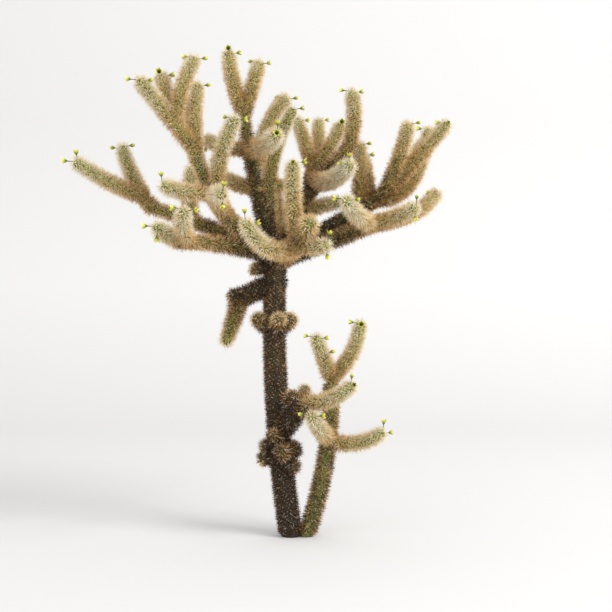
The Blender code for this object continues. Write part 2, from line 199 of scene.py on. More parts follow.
# %% Light
KEY_PLACE, KEY_AIM, KEY_SIZE, KEY_POWER = (6.2, -3.9, 6.8), (0.0, 0.0, 0.9), 4.0, 645
KEY_COLOUR = (1, 0.985, 0.96)
WORLD_COLOUR, WORLD_STRENGTH = (0.995, 0.995, 1.0), 1.10

key = new_object("key_light", bpy.data.lights.new("key_light", "AREA"))
key.data.size, key.data.energy, key.data.color = KEY_SIZE, KEY_POWER, KEY_COLOUR
key.location = KEY_PLACE
key.rotation_euler = (Vector(KEY_AIM) - Vector(KEY_PLACE)).to_track_quat("-Z", "Y").to_euler()
world = bpy.data.worlds.new("studio")
world.use_nodes = True
fill(world.node_tree.nodes["Background"], {"Color": (*WORLD_COLOUR, 1), "Strength": WORLD_STRENGTH})
bpy.context.scene.world = world
bpy.context.scene.view_settings.view_transform = "Standard"

# %% [markdown]
# A cholla grows in joints. Each limb starts on the middle line of the one that carries it, at a share of its
# length, runs to its tip, and bows a little on the way. So one short row for each limb is enough to place the
# whole plant, and a limb that moves takes with it all that grows from it.
#
# The coat's age runs from 0, old and nearly black, to 1, this year's cream. Each kind of limb has its own
# range from root to tip, and a row may give another. A range may start below 0 or end above 1: the coat then
# stays at its oldest or its newest for a part of the way. Arms within the crown or at its back get a greyer
# root, and arms on the lamp's side an older, darker coat: both are painted shade.

# %% Sizes and ages
ARM_GIRTH = 0.0225  # radius of an arm near its tip, to the thick of its coat
SWELL = 0.07  # an arm is this much fatter in the middle
YOUNG_TUFT, OLD_TUFT = 0.0135, 0.010  # how far needles stand out past the girth
TIP_SPINES = 0.013  # and beyond the end of an arm
TRUNK_HEIGHT, TRUNK_FOOT, TRUNK_TOP = 1.05, 0.042, 0.04
STEM_HEIGHT, STEM_FOOT, STEM_TOP = 0.585, 0.032, 0.028

OLD, DRY, BOUGH, YOUNG = 0.0, 0.3, 0.45, 1.0  # the kinds of coat
AGES = {OLD: (-0.06, 0.24), DRY: (0.22, 0.38), BOUGH: (-0.06, 0.58), YOUNG: (0.47, 1.0)}
# Painted shade: these two ranges darken the coat by where an arm stands in the light, greyer at the root within
# the crown or at its back, older and darker on the lamp's side to tone the lamp down.
SHADED = (0.42, 0.95)  # the ages of an arm within the crown or at its back, a little greyer at the root
SUNNED = (0.28, 0.88)  # and of an arm on the lamp's side, where the same coat shines paler


class Limb(NamedTuple):
    """One joint or bough: where it grows, where it ends, and how it bends on the way."""

    name: str
    parent: str
    at: float  # how far along its parent it grows, 0 to 1
    tip: tuple
    belly: tuple  # how far its middle stands off the straight line
    girth: float
    blooms: str = ""  # the side of each flower: East, West, Up, Down, Front or Back
    coat: float = YOUNG
    tip_girth: float = ARM_GIRTH
    tuft: float = YOUNG_TUFT
    ages: tuple = None


STEMS = [
    Limb("trunk", "", 0, (-0.055, 0, TRUNK_HEIGHT), (-0.0265, 0, 0), TRUNK_FOOT, coat=OLD,
         tip_girth=TRUNK_TOP, tuft=OLD_TUFT),
    Limb("second_stem", "", 0, (0.147, 0, STEM_HEIGHT), (0.028, 0, 0), STEM_FOOT, coat=DRY,
         tip_girth=STEM_TOP, tuft=OLD_TUFT + 0.003, ages=(0.22, 0.40)),
]
STEM_ROOTS = {"trunk": (0, 0, 0), "second_stem": (0.055, 0, 0)}

LEFT = [
    Limb("left_bough", "trunk", 0.985, (-0.535, 0.02, 1.215), (0.005, 0.02, 0.005), 0.031, coat=BOUGH),
    Limb("left_upright_arm", "left_bough", 0.96, (-0.635, 0.04, 1.46), (-0.008, -0.01, -0.015), 0.027, "EW"),
    Limb("left_end_arm", "left_upright_arm", 0.2, (-0.79, -0.1, 1.375), (0, -0.01, -0.015), 0.027, "WU"),
    Limb("left_rear_arm", "left_bough", 0.66, (-0.375, 0.12, 1.385), (-0.01, 0.005, 0), 0.026),
    Limb("low_left_bough", "trunk", 0.975, (-0.375, -0.26, 1.065), (-0.005, 0.03, 0.015), 0.03, coat=BOUGH),
    Limb("low_left_end_arm", "low_left_bough", 0.97, (-0.455, -0.38, 1.12), (0, 0.005, -0.01), 0.026, "WD"),
    Limb("low_left_front_arm", "low_left_bough", 0.9, (-0.335, -0.42, 1.175), (-0.015, -0.04, -0.015),
         0.025, "WE"),
    Limb("high_left_bough", "trunk", 0.99, (-0.35, -0.16, 1.425), (-0.03, -0.02, -0.06), 0.033, coat=BOUGH,
         ages=(0.32, 0.72)),
    Limb("high_left_end_arm", "high_left_bough", 0.97, (-0.54, -0.2, 1.645), (-0.01, 0.01, 0.015), 0.027,
         "WE"),
    Limb("high_left_fork_arm", "high_left_end_arm", 0.4, (-0.47, -0.08, 1.68), (0, 0.025, 0.03), 0.021, "FE"),
    Limb("high_left_upright_arm", "high_left_end_arm", 0.3, (-0.33, -0.12, 1.74), (-0.005, 0, 0.02), 0.024,
         "WE"),
    Limb("high_left_rear_arm", "high_left_bough", 0.9, (-0.335, -0.04, 1.655), (-0.01, 0, 0.03), 0.023, "E"),
    Limb("high_left_inner_arm", "high_left_bough", 0.6, (-0.175, -0.24, 1.51), (-0.025, -0.02, 0), 0.026,
         "WE"),
    Limb("high_left_side_arm", "high_left_bough", 0.68, (-0.45, -0.28, 1.265), (0, -0.03, -0.02), 0.025, "U"),
    Limb("high_left_front_arm", "high_left_bough", 0.5, (-0.21, -0.38, 1.205), (-0.03, -0.04, 0.03), 0.026,
         "UD"),
]
MIDDLE = [
    Limb("middle_bough", "trunk", 0.99, (-0.185, 0.05, 1.595), (0, 0.005, -0.07), 0.031, coat=BOUGH,
         ages=(-0.1, 0.36)),
    Limb("middle_end_arm", "middle_bough", 0.97, (-0.232, 0.05, 1.81), (-0.013, 0, 0.005), 0.026, "FE"),
    Limb("middle_fork_arm", "middle_bough", 0.95, (-0.115, 0.09, 1.775), (0.006, 0, 0.015), 0.025, "WE"),
    Limb("middle_left_arm", "middle_bough", 0.78, (-0.345, 0.22, 1.5), (-0.02, 0.03, -0.005), 0.024, "WD"),
    Limb("middle_low_left_arm", "middle_bough", 0.55, (-0.275, 0.2, 1.35), (-0.02, 0.015, 0), 0.024, "B"),
    Limb("middle_right_arm", "middle_bough", 0.66, (-0.005, 0.1, 1.635), (-0.005, 0.01, 0.05), 0.024, "WE"),
    # Painted shade: this arm's root lies in the crown's shade, so its coat starts older and darker there.
    Limb("middle_front_arm", "middle_bough", 0.78, (-0.035, -0.26, 1.44), (0, -0.02, -0.02), 0.028, "UF",
         tip_girth=0.026, ages=(0.2, 1.05)),
    Limb("inner_bough", "middle_bough", 0.12, (0.015, 0.18, 1.62), (-0.05, 0.045, 0.015), 0.028, "EB",
         coat=DRY, ages=(0.12, 1.0)),
    Limb("inner_stub", "inner_bough", 0.4, (0.01, 0.14, 1.31), (0.005, 0.01, -0.01), 0.022),
    Limb("rear_bough", "trunk", 0.98, (0.08, 0.26, 1.4), (0.03, 0.01, -0.025), 0.03, coat=BOUGH,
         ages=(-0.1, 0.36)),
    Limb("rear_left_arm", "rear_bough", 0.97, (0.01, 0.34, 1.61), (0.005, 0.005, 0), 0.025, "WE"),
    Limb("rear_end_arm", "rear_bough", 0.98, (0.105, 0.42, 1.62), (0.01, 0.02, -0.01), 0.022, "EB"),
    Limb("rear_fork_arm", "rear_bough", 0.96, (0.2, 0.3, 1.58), (0.015, -0.015, 0), 0.024, "FB"),
    Limb("rear_right_knee", "rear_bough", 0.76, (0.225, 0.1, 1.455), (0.01, 0.01, 0.005), 0.03, coat=BOUGH,
         tip_girth=0.026),
    Limb("rear_right_arm", "rear_right_knee", 0.93, (0.215, 0.04, 1.66), (0.02, -0.005, 0.01), 0.026, "WE"),
    Limb("rear_front_arm", "rear_bough", 0.88, (0.22, -0.12, 1.36), (0, -0.005, -0.04), 0.03, "WU",
         tip_girth=0.026, ages=(0.35, 1.1)),
    Limb("rear_low_arm", "rear_bough", 0.52, (0.205, 0.12, 1.235), (0, 0.025, 0.015), 0.024),
]
FRONT = [
    Limb("front_bough", "trunk", 0.965, (0.03, -0.32, 1.06), (0, 0.01, -0.02), 0.028, coat=BOUGH),
    Limb("front_upright_arm", "front_bough", 0.97, (0.015, -0.36, 1.34), (-0.01, -0.025, 0), 0.026, "EF",
         ages=(0.42, 0.9)),
    Limb("front_left_arm", "front_bough", 0.9, (-0.155, -0.42, 1.145), (-0.01, -0.03, -0.06), 0.026, "UE"),
    Limb("front_right_arm", "front_bough", 0.92, (0.15, -0.34, 1.055), (0, -0.015, -0.01), 0.024, "UD"),
    Limb("front_stub", "front_bough", 0.95, (0.075, -0.41, 1.14), (0.005, -0.01, 0), 0.032, coat=BOUGH,
         tip_girth=0.031, ages=(0.3, 0.75)),
]
RIGHT = [
    Limb("right_bough", "trunk", 0.985, (0.36, 0.06, 1.28), (0.01, 0.02, -0.01), 0.031, coat=BOUGH,
         ages=(-0.2, 0.30)),
    Limb("right_upright_arm", "right_bough", 0.97, (0.435, 0, 1.53), (0.015, 0, 0.015), 0.024, "E"),
    Limb("right_end_arm", "right_bough", 0.98, (0.6, 0.08, 1.545), (0.005, 0.01, 0), 0.026, "WF"),
    Limb("right_rear_arm", "right_bough", 0.86, (0.535, 0.22, 1.56), (0.04, 0.04, -0.08), 0.024, "W"),
    Limb("right_inner_arm", "right_bough", 0.72, (0.26, 0.16, 1.48), (0.005, 0.02, 0.01), 0.024, "E"),
    Limb("right_middle_arm", "right_bough", 0.82, (0.27, 0.2, 1.44), (0.005, 0.03, 0.01), 0.023, "E"),
    Limb("low_right_bough", "trunk", 0.96, (0.315, -0.08, 1.145), (0.015, 0.02, 0.005), 0.031, coat=BOUGH,
         tip_girth=0.027, ages=(-0.2, 0.42)),
    Limb("low_right_end_arm", "low_right_bough", 0.97, (0.455, -0.18, 1.2), (0.01, 0.01, -0.005), 0.029,
         "UD", ages=(0.5, 0.95)),
    Limb("low_right_front_arm", "low_right_bough", 0.93, (0.18, -0.3, 1.22), (0, -0.015, -0.02), 0.027,
         "WE", ages=(0.5, 1.1)),
    Limb("low_right_rear_arm", "low_right_bough", 0.97, (0.565, 0.16, 1.29), (0.025, 0.02, -0.025), 0.022,
         "W"),
]
BACK = [
    Limb("back_left_bough", "trunk", 0.96, (-0.4, 0.46, 1.48), (-0.025, 0.05, -0.05), 0.028, coat=BOUGH),
    Limb("back_left_arm", "back_left_bough", 0.97, (-0.435, 0.58, 1.79), (-0.025, 0.025, -0.01), 0.025, "WB"),
    Limb("back_middle_bough", "trunk", 0.985, (-0.145, 0.5, 1.535), (0.04, 0.03, -0.04), 0.028, "BE"),
    Limb("back_right_bough", "trunk", 0.96, (0.4, 0.46, 1.315), (-0.005, 0.02, -0.01), 0.029, coat=BOUGH),
    Limb("back_right_arm", "back_right_bough", 0.97, (0.55, 0.54, 1.55), (0, 0.005, -0.01), 0.025, "EB"),
]
LOW = [
    Limb("stem_left_arm", "second_stem", 0.98, (0.08, -0.04, 0.755), (0.005, 0, -0.005), 0.026, "WEE"),
    Limb("stem_right_arm", "second_stem", 0.99, (0.26, 0.04, 0.805), (0.024, 0, -0.015), 0.026, "WF"),
    Limb("stem_low_left_arm", "second_stem", 0.62, (0.065, -0.18, 0.48), (0.005, -0.01, -0.02), 0.026, "WE"),
    Limb("stem_low_right_arm", "second_stem", 0.6, (0.35, -0.06, 0.405), (0.01, -0.01, -0.03), 0.025, "UE"),
    Limb("side_limb", "trunk", 0.365, (0.05, -0.08, 0.505), (0, -0.01, -0.005), 0.042, coat=DRY,
         tip_girth=0.034, ages=(-0.15, 0.22)),
    Limb("side_limb_arm", "side_limb", 0.93, (0.235, -0.18, 0.585), (0.005, -0.01, -0.025), 0.026, "FU"),
    Limb("hanging_limb", "trunk", 0.885, (-0.2, -0.02, 0.86), (-0.01, 0, 0), 0.037, coat=OLD,
         tip_girth=0.033),
    Limb("hanging_arm", "hanging_limb", 0.88, (-0.25, -0.02, 0.68), (0.008, 0, 0.015), 0.033, coat=BOUGH,
         ages=(0.25, 0.6)),
]
# Short old joints, each one piece with the limb that carries it. Their ages go by the first word of the name.
STUB_AGES = {"stub": (-0.3, 0.7), "foot": (-0.5, 0.35), "hanging": (-0.4, 0.5), "side": (-0.45, 0.42),
             "side_stub_rear": (0.4, 1.0)}
STUB_TAPER = 0.95
STUBS = [
    Limb(name, parent, at, tip, belly, girth, coat=DRY, tip_girth=STUB_TAPER * girth,
         ages=STUB_AGES.get(name, STUB_AGES[name.split("_")[0]]))
    for name, parent, at, tip, belly, girth in [
        ("stub_top", "trunk", 0.955, (-0.155, -0.02, 0.985), (-0.015, -0.01, -0.015), 0.024),
        ("stub_left", "trunk", 0.725, (-0.142, -0.02, 0.833), (-0.005, -0.01, -0.015), 0.03),
        ("stub_front", "trunk", 0.74, (-0.042, -0.1, 0.83), (0.005, -0.02, -0.02), 0.027),
        ("stub_right", "trunk", 0.725, (0.022, -0.03, 0.83), (0.005, -0.01, -0.015), 0.029),
        ("foot_stub_west", "trunk", 0.31, (-0.128, -0.03, 0.335), (0.005, -0.01, 0), 0.03),
        ("foot_stub_low", "trunk", 0.27, (-0.13, -0.05, 0.275), (0, -0.015, 0.015), 0.028),
        ("foot_stub_up", "trunk", 0.33, (-0.07, -0.08, 0.408), (0, -0.015, -0.01), 0.03),
        ("foot_stub_front", "trunk", 0.28, (-0.02, -0.11, 0.325), (0, -0.025, 0.01), 0.033),
        ("foot_stub_east", "trunk", 0.31, (0.048, -0.04, 0.332), (0, -0.005, -0.01), 0.036),
        ("foot_stub_east_low", "trunk", 0.25, (0.042, -0.05, 0.272), (0, -0.01, -0.005), 0.03),
        ("hanging_stub", "hanging_limb", 0.7, (-0.247, -0.02, 0.878), (0, 0, 0), 0.03),
        ("side_stub_left", "side_limb", 0.55, (0, -0.09, 0.555), (0, -0.005, 0), 0.033),
        ("side_stub_low", "side_limb", 0.7, (0.06, -0.13, 0.44), (0.005, -0.005, 0.02), 0.026),
        ("side_stub_rear", "side_limb", 0.9, (0.05, -0.03, 0.57), (0.005, 0.005, 0), 0.024),
    ]
]
LIMBS = STEMS + LEFT + MIDDLE + FRONT + RIGHT + BACK + LOW + STUBS
BY_NAME = {limb.name: limb for limb in LIMBS}
print(len(LIMBS), "limbs,", sum(len(limb.blooms) for limb in LIMBS), "places for flowers")

# %% [markdown]
# A limb's middle line is its straight line plus a bow, so a point on it needs only the share of the way from
# root to tip. The same functions take one share or a whole array of them.

# %% Middle lines
LINE_POINTS = 25  # on a limb, in measuring its length


def line_at(limb, share):
    """Points on the limb's middle line, one row for each share of the way."""
    share = np.atleast_1d(share)[:, None]
    root = line_at(BY_NAME[limb.parent], limb.at)[0] if limb.parent else np.array(STEM_ROOTS[limb.name])
    straight = root + (np.array(limb.tip) - root) * share
    return straight + np.array(limb.belly) * 4 * share * (1 - share)


def length_of(limb):
    line = line_at(limb, np.linspace(0, 1, LINE_POINTS))
    return np.linalg.norm(np.diff(line, axis=0), axis=1).sum()


def girth_at(limb, share):
    taper = limb.girth + (limb.tip_girth - limb.girth) * share
    return taper * (1 + SWELL * np.sin(np.pi * share) * (limb.coat == YOUNG))


def frames_along(line):
    """At each point the direction of the line and two directions across it, carried along without a twist."""
    along = np.gradient(line, axis=0)
    along /= np.linalg.norm(along, axis=1)[:, None]
    side = np.zeros_like(along)
    start = np.cross(along[0], (0, 1, 0) if abs(along[0][1]) < 0.9 else (1, 0, 0))
    for row, direction in enumerate(along):
        start = start - direction * start.dot(direction)
        start /= np.linalg.norm(start)
        side[row] = start
    return along, side, np.cross(along, side)


print("total length of all limbs", round(sum(length_of(limb) for limb in LIMBS), 2), "m")

# %% [markdown]
# The green flesh is thinner than the solid, whose girth already holds most of the coat. It ends in a dome, so
# that the needles stand round the end as they stand round the sides. It starts in a dome too, behind its
# root, so a limb that grows at the very end of another makes a rounded joint with it and leaves no gap.

# %% Flesh radius
FLESH_SHARE = {OLD: 0.80, DRY: 0.76, BOUGH: 0.72, YOUNG: 0.70}  # of the girth
DOME_ROOM = 0.019  # from the end of the flesh to the end of the needles
GROWN_UP = 0.85  # the coat reaches its last age at this share of the way


def flesh_end(limb):
    """The share of the way at which the flesh ends."""
    return 1 - DOME_ROOM / length_of(limb)


def body_radius(limb, share):
    return girth_at(limb, np.clip(share, 0, 1)) * FLESH_SHARE[limb.coat]


def flesh_start(limb):
    """The share at which the flesh starts, which is below 0 for a limb that grows on another."""
    return -body_radius(limb, 0) / length_of(limb) if limb.parent else 0


def into_domes(limb, share):
    """How far into a dome each share is: 0 on the sides, up to 1 at the end, down to -1 at the start."""
    body = body_radius(limb, share)
    over_end = (share - flesh_end(limb)) * length_of(limb) / body + 1
    over_start = -share * length_of(limb) / body if limb.parent else 0 * share
    return np.clip(over_end, 0, 1) - np.clip(over_start, 0, 1)


def flesh_radius(limb, share):
    return body_radius(limb, share) * np.sqrt(1 - into_domes(limb, share) ** 2)


def ages_of(limb):
    if limb.ages or limb.coat != YOUNG:
        return limb.ages or AGES[limb.coat]
    # painted shade: arms on the lamp's side, within the crown or at its back take the darker ranges above
    return SUNNED if limb in RIGHT else SHADED if limb in MIDDLE + BACK else AGES[YOUNG]


def age_at(limb, share):
    first, last = ages_of(limb)
    return first + (last - first) * np.clip(share / GROWN_UP, 0, 1)


# %% [markdown]
# Needles grow in clusters, the areoles. Each areole sits a golden angle round the limb from the last and a
# small step further along, which is how a growing tip sets them, and gives the crossing spiral rows of a
# cactus. The step follows from how much skin one areole takes.

# %% Areoles
AREOLE_SPACING = {OLD: 0.0120, DRY: 0.0102, BOUGH: 0.0088, YOUNG: 0.0084}
AREOLE_SKIN = 0.87  # the skin that an areole takes, against a square on its spacing: they stand in a hexagon
GOLDEN_ANGLE = math.pi * (3 - math.sqrt(5))
FINE_STEPS = 1200  # steps along a limb, in adding up its skin


def areoles_of(limb):
    """(places on the skin, directions outwards, shares) of the limb's areoles."""
    shares = np.linspace(flesh_start(limb), flesh_end(limb), FINE_STEPS)
    skin = np.gradient(shares) * length_of(limb) * 2 * np.pi * body_radius(limb, shares)
    number = np.cumsum(skin) / (AREOLE_SKIN * AREOLE_SPACING[limb.coat] ** 2)
    count = int(number[-1])
    share = np.interp(np.arange(count) + 0.5, number, shares)
    line = line_at(limb, shares)
    along, side, across = (np.array([np.interp(share, shares, axis[:, k]) for k in range(3)]).T
                           for axis in frames_along(line))
    turn = np.arange(count) * GOLDEN_ANGLE
    sideways = side * np.cos(turn)[:, None] + across * np.sin(turn)[:, None]
    slope = into_domes(limb, share)[:, None]
    outward = sideways * np.sqrt(1 - slope**2) + along * slope
    return line_at(limb, share) + sideways * flesh_radius(limb, share)[:, None], outward, share


areoles = {limb.name: areoles_of(limb) for limb in LIMBS}
print("areoles:", sum(len(share) for _, _, share in areoles.values()))

# %% [markdown]
# Where a limb starts inside another, its first areoles would stand under the other's skin. Those are left
# out: an areole counts only if it is clear of the flesh of every other limb. None counts at the very foot
# either, and those just above it turn their needles up, away from the ground.

# %% Areoles in the open
OPEN_ROOM = -0.0005  # an areole may lie this deep in another limb's flesh
FLESH_STEP = 0.006  # between the points at which another limb's flesh is measured
LEAST_HEIGHT = 0.006  # no areole counts below this height above the ground
RISING_BELOW, MOST_RISE = 0.03, 0.9  # and below this one the needles turn up, by this much at the ground
BATCH = 400  # areoles measured at a time


def flesh_line(limb):
    """Points along the limb, each with the radius of its flesh."""
    shares = np.linspace(flesh_start(limb), flesh_end(limb), max(3, round(length_of(limb) / FLESH_STEP)))
    return np.c_[line_at(limb, shares), flesh_radius(limb, shares)]


FLESH_LINES = {limb.name: flesh_line(limb) for limb in LIMBS}


def in_the_open(limb, places):
    others = np.concatenate([line for name, line in FLESH_LINES.items() if name != limb.name])
    clear = np.ones(len(places), bool)
    for first in range(0, len(places), BATCH):
        part = places[first:first + BATCH, None]
        apart = np.linalg.norm(part - others[None, :, :3], axis=2) - others[None, :, 3]
        clear[first:first + BATCH] = apart.min(axis=1) > OPEN_ROOM
    return clear


for limb in LIMBS:
    places, outward, share = areoles[limb.name]
    clear = in_the_open(limb, places) & (places[:, 2] > LEAST_HEIGHT)
    outward[:, 2] += MOST_RISE * np.clip(1 - places[:, 2] / RISING_BELOW, 0, 1)
    areoles[limb.name] = places[clear], outward[clear], share[clear]
print("areoles in the open:", sum(len(share) for _, _, share in areoles.values()))

# %% [markdown]
# The skin is a tube of rings round each middle line. It rises into a low bump under every areole, so the rows
# of bumps and the clusters of needles agree. Each point of the skin asks a search tree for its nearest
# areole, and rises the more the nearer that is. An attribute keeps the coat's age for the colours.

# %% Skin
RING_SPACING, DOME_RINGS = 0.004, 6
BUMP_HEIGHT = {OLD: 0.0036, DRY: 0.0028, BOUGH: 0.0018, YOUNG: 0.0016}
BUMP_REACH = 0.62  # of the spacing of the areoles
FOOT_STEP = 0.0004  # each ring of a stem stands at least this much higher than the last


def skin_of(limb, round_count):
    """(verts, faces, ages) of the limb's closed tube."""
    start, end, length = flesh_start(limb), flesh_end(limb), length_of(limb)
    dome = body_radius(limb, end) / length
    plain = np.linspace(0, end - dome, max(2, round((end - dome) * length / RING_SPACING)))
    rise = np.sin(np.linspace(0, np.pi / 2, DOME_RINGS + 1)[1:-1])
    shares = np.r_[start * rise[::-1] if limb.parent else [], plain, end - dome * (1 - rise)]
    line = line_at(limb, shares)
    _, side, across = frames_along(line)
    turn = np.linspace(0, 2 * np.pi, round_count, endpoint=False)
    sideways = side[:, None] * np.cos(turn)[None, :, None] + across[:, None] * np.sin(turn)[None, :, None]
    verts = line[:, None] + sideways * flesh_radius(limb, shares)[:, None, None]
    tree = KDTree(len(areoles[limb.name][0]))
    for index, place in enumerate(areoles[limb.name][0]):
        tree.insert(place, index)
    tree.balance()
    near = np.array([tree.find(vert)[2] or 1 for vert in verts.reshape(-1, 3)]).reshape(verts.shape[:2])
    rise = np.clip(1 - near / (BUMP_REACH * AREOLE_SPACING[limb.coat]), 0, 1)
    verts = verts + sideways * (BUMP_HEIGHT[limb.coat] * rise * (2 - rise))[:, :, None]
    if not limb.parent:  # the foot is cut flat, and no ring of a leaning stem dips below it
        verts[0, :, 2] = 0
        verts[:, :, 2] = np.maximum(verts[:, :, 2], FOOT_STEP * np.arange(len(shares))[:, None])
    rings = len(shares)
    corner = np.arange(rings * round_count).reshape(rings, round_count)
    beside = np.roll(corner, -1, axis=1)
    sides = np.stack([corner[:-1], beside[:-1], beside[1:], corner[1:]], axis=-1).reshape(-1, 4)
    root, top = rings * round_count, rings * round_count + 1
    caps = [(root, b, a) for a, b in zip(corner[0], beside[0])] + [
        (top, a, b) for a, b in zip(corner[-1], beside[-1])]
    ends = line_at(limb, np.array([start, end]))
    ages = np.r_[np.repeat(age_at(limb, shares), round_count), age_at(limb, np.array([start, end]))]
    return np.r_[verts.reshape(-1, 3), ends], [tuple(f) for f in sides.tolist()] + caps, ages


# %% [markdown]
# Old bark, a bough's skin and an arm's skin share one effect: a mottled colour that goes from an old tone to
# a young one with the coat's age. It is a node group with named inputs, placed in each material with its own
# colours. The Principled shader stays in the material.

# %% Mottled skin effect
GRAIN_SCALE, GRAIN_DETAIL, FLECK_SCALE = 420, 3, 150
FLECK_EDGE = 0.47, 0.56  # a fleck fades in between these values of its noise
BUMP_STRENGTH, BUMP_DISTANCE = 0.5, 0.0008
GLOSS = 0.25  # of skin and needles, which are duller than the shader's own 0.5


def mottle_group():
    """Colour and bump height of living skin, from two tones, the coat's age and three noises."""
    group, given, result, add = new_tree("mottled skin", "ShaderNodeTree", [
        ("Old tone", "Color", (0.05, 0.035, 0.025, 1)), ("Young tone", "Color", (0.2, 0.25, 0.1, 1)),
        ("Fleck tone", "Color", (0.4, 0.38, 0.34, 1)), ("Fleck share", "Float", 0.1),
        ("Patch size", "Float", 30.0), ("Unevenness", "Float", 0.4),
    ], {"Colour": "Color", "Height": "Float"})
    place = {"Vector": add("ShaderNodeTexCoord").outputs["Object"]}
    patches = add("ShaderNodeTexNoise", place | {"Scale": given["Patch size"]})
    grain = add("ShaderNodeTexNoise", place | {"Scale": GRAIN_SCALE, "Detail": GRAIN_DETAIL})
    flecks = add("ShaderNodeTexNoise", place | {"Scale": FLECK_SCALE})
    age = add("ShaderNodeAttribute", attribute_name="coat_age")
    centred = add("ShaderNodeMath", {0: patches, 1: 0.5}, operation="SUBTRACT")
    swing = add("ShaderNodeMath", {0: centred, 1: given["Unevenness"], 2: age.outputs["Fac"]},
                operation="MULTIPLY_ADD", use_clamp=True)
    tone = add("ShaderNodeMix", {"Factor": swing, "A": given["Old tone"], "B": given["Young tone"]},
               data_type="RGBA")
    sharp = add("ShaderNodeMapRange", {
        "Value": flecks, "From Min": FLECK_EDGE[0], "From Max": FLECK_EDGE[1]})
    rare = add("ShaderNodeMath", {0: sharp, 1: given["Fleck share"]}, operation="MULTIPLY")
    speckle = add("ShaderNodeMix", {"Factor": rare, "A": tone, "B": given["Fleck tone"]}, data_type="RGBA")
    fill(result, {"Colour": speckle, "Height": grain})
    return group


MOTTLE = mottle_group()


def skin_material(name, roughness, **values):
    """A Principled material whose colour and bump come from the mottled skin effect."""
    material, shader, add = new_material(name)
    effect = add("ShaderNodeGroup", {
        label.replace("_", " ").capitalize(): (*value, 1) if isinstance(value, tuple) else value
        for label, value in values.items()}, node_tree=MOTTLE)
    bump = add("ShaderNodeBump", {
        "Strength": BUMP_STRENGTH, "Distance": BUMP_DISTANCE, "Height": effect.outputs["Height"]})
    fill(shader, {"Roughness": roughness, "Specular IOR Level": GLOSS,
                  "Base Color": effect.outputs["Colour"], "Normal": bump})
    return material


BARK = skin_material(
    "old_bark", 0.85, old_tone=(0.030, 0.020, 0.010), young_tone=(0.15, 0.12, 0.04),
    fleck_tone=(0.14, 0.13, 0.10), fleck_share=0.3, patch_size=26, unevenness=0.7)
STEM_SKIN = skin_material(
    "stem_skin", 0.7, old_tone=(0.12, 0.13, 0.04), young_tone=(0.38, 0.42, 0.12),
    fleck_tone=(0.04, 0.03, 0.012), fleck_share=0.8, patch_size=30, unevenness=1.0)
BOUGH_SKIN = skin_material(
    "bough_skin", 0.7, old_tone=(0.03, 0.03, 0.010), young_tone=(0.32, 0.36, 0.07),
    fleck_tone=(0.03, 0.02, 0.012), fleck_share=0.85, patch_size=40, unevenness=1.0)
ARM_SKIN = skin_material(
    "arm_skin", 0.65, old_tone=(0.28, 0.20, 0.06), young_tone=(0.36, 0.385, 0.12),
    fleck_tone=(0.045, 0.035, 0.014), fleck_share=0.8, patch_size=60, unevenness=0.4)
print("skins:", BARK.name, STEM_SKIN.name, BOUGH_SKIN.name, ARM_SKIN.name)

# %% [markdown]
# The skins are joined into a few pieces: the trunk with its stubs, the second stem, the other old limbs, the
# boughs, and the arms by their side of the crown. Each piece replaces the solids that it grows over.

# %% Skin pieces
CARRIER = {limb.name: limb.parent for limb in STUBS} | {
    "inner_stub": "inner_bough", "front_stub": "front_bough"}
OLD_NODES = {"trunk", "second_stem", "hanging_limb", "side_limb"}
TRUNK_SIDES, OLD_LIMB_SIDES, BOUGH_SIDES, ARM_SIDES = 30, 26, 24, 22


def node_of(limb):
    """The solid that a limb belongs to: its own, or its carrier's for a stub."""
    return CARRIER.get(limb.name, limb.name)


def slot_of(limb):
    node = node_of(limb)
    if node in OLD_NODES:
        return "old_stem"
    return "bough_coat" if "bough" in node or node in ("rear_right_knee", "hanging_arm") else "arm_coat"


def skin_piece(name, limbs, material, round_count):
    verts, faces, ages, first = [], [], [], 0
    for limb in limbs:
        some, more, age = skin_of(limb, round_count)
        verts.append(some)
        faces.extend(tuple(first + corner for corner in face) for face in more)
        ages.append(age)
        first += len(some)
    piece = new_object(name, new_mesh(name, np.concatenate(verts).tolist(), faces, material))
    attribute = piece.data.attributes.new("coat_age", "FLOAT", "POINT")
    attribute.data.foreach_set("value", np.concatenate(ages).astype(np.float32))
    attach(piece, "root")
    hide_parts(*dict.fromkeys(node_of(limb) for limb in limbs))
    slot_of(limbs[0])
    print(name, len(piece.data.polygons), "faces")


def of_nodes(*nodes):
    return [limb for limb in LIMBS if node_of(limb) in nodes]


def of_slot(limbs, slot):
    return [limb for limb in limbs if slot_of(limb) == slot]


skin_piece("trunk_skin", of_nodes("trunk"), BARK, TRUNK_SIDES)
skin_piece("second_stem_skin", of_nodes("second_stem"), STEM_SKIN, TRUNK_SIDES)
skin_piece("old_limb_skin", of_nodes("hanging_limb", "side_limb"), BARK, OLD_LIMB_SIDES)
skin_piece("bough_skin", of_slot(LIMBS, "bough_coat"), BOUGH_SKIN, BOUGH_SIDES)
skin_piece("left_arm_skin", of_slot(LEFT + MIDDLE, "arm_coat"), ARM_SKIN, ARM_SIDES)
skin_piece("right_arm_skin", of_slot(FRONT + RIGHT + BACK + LOW, "arm_coat"), ARM_SKIN, ARM_SIDES)
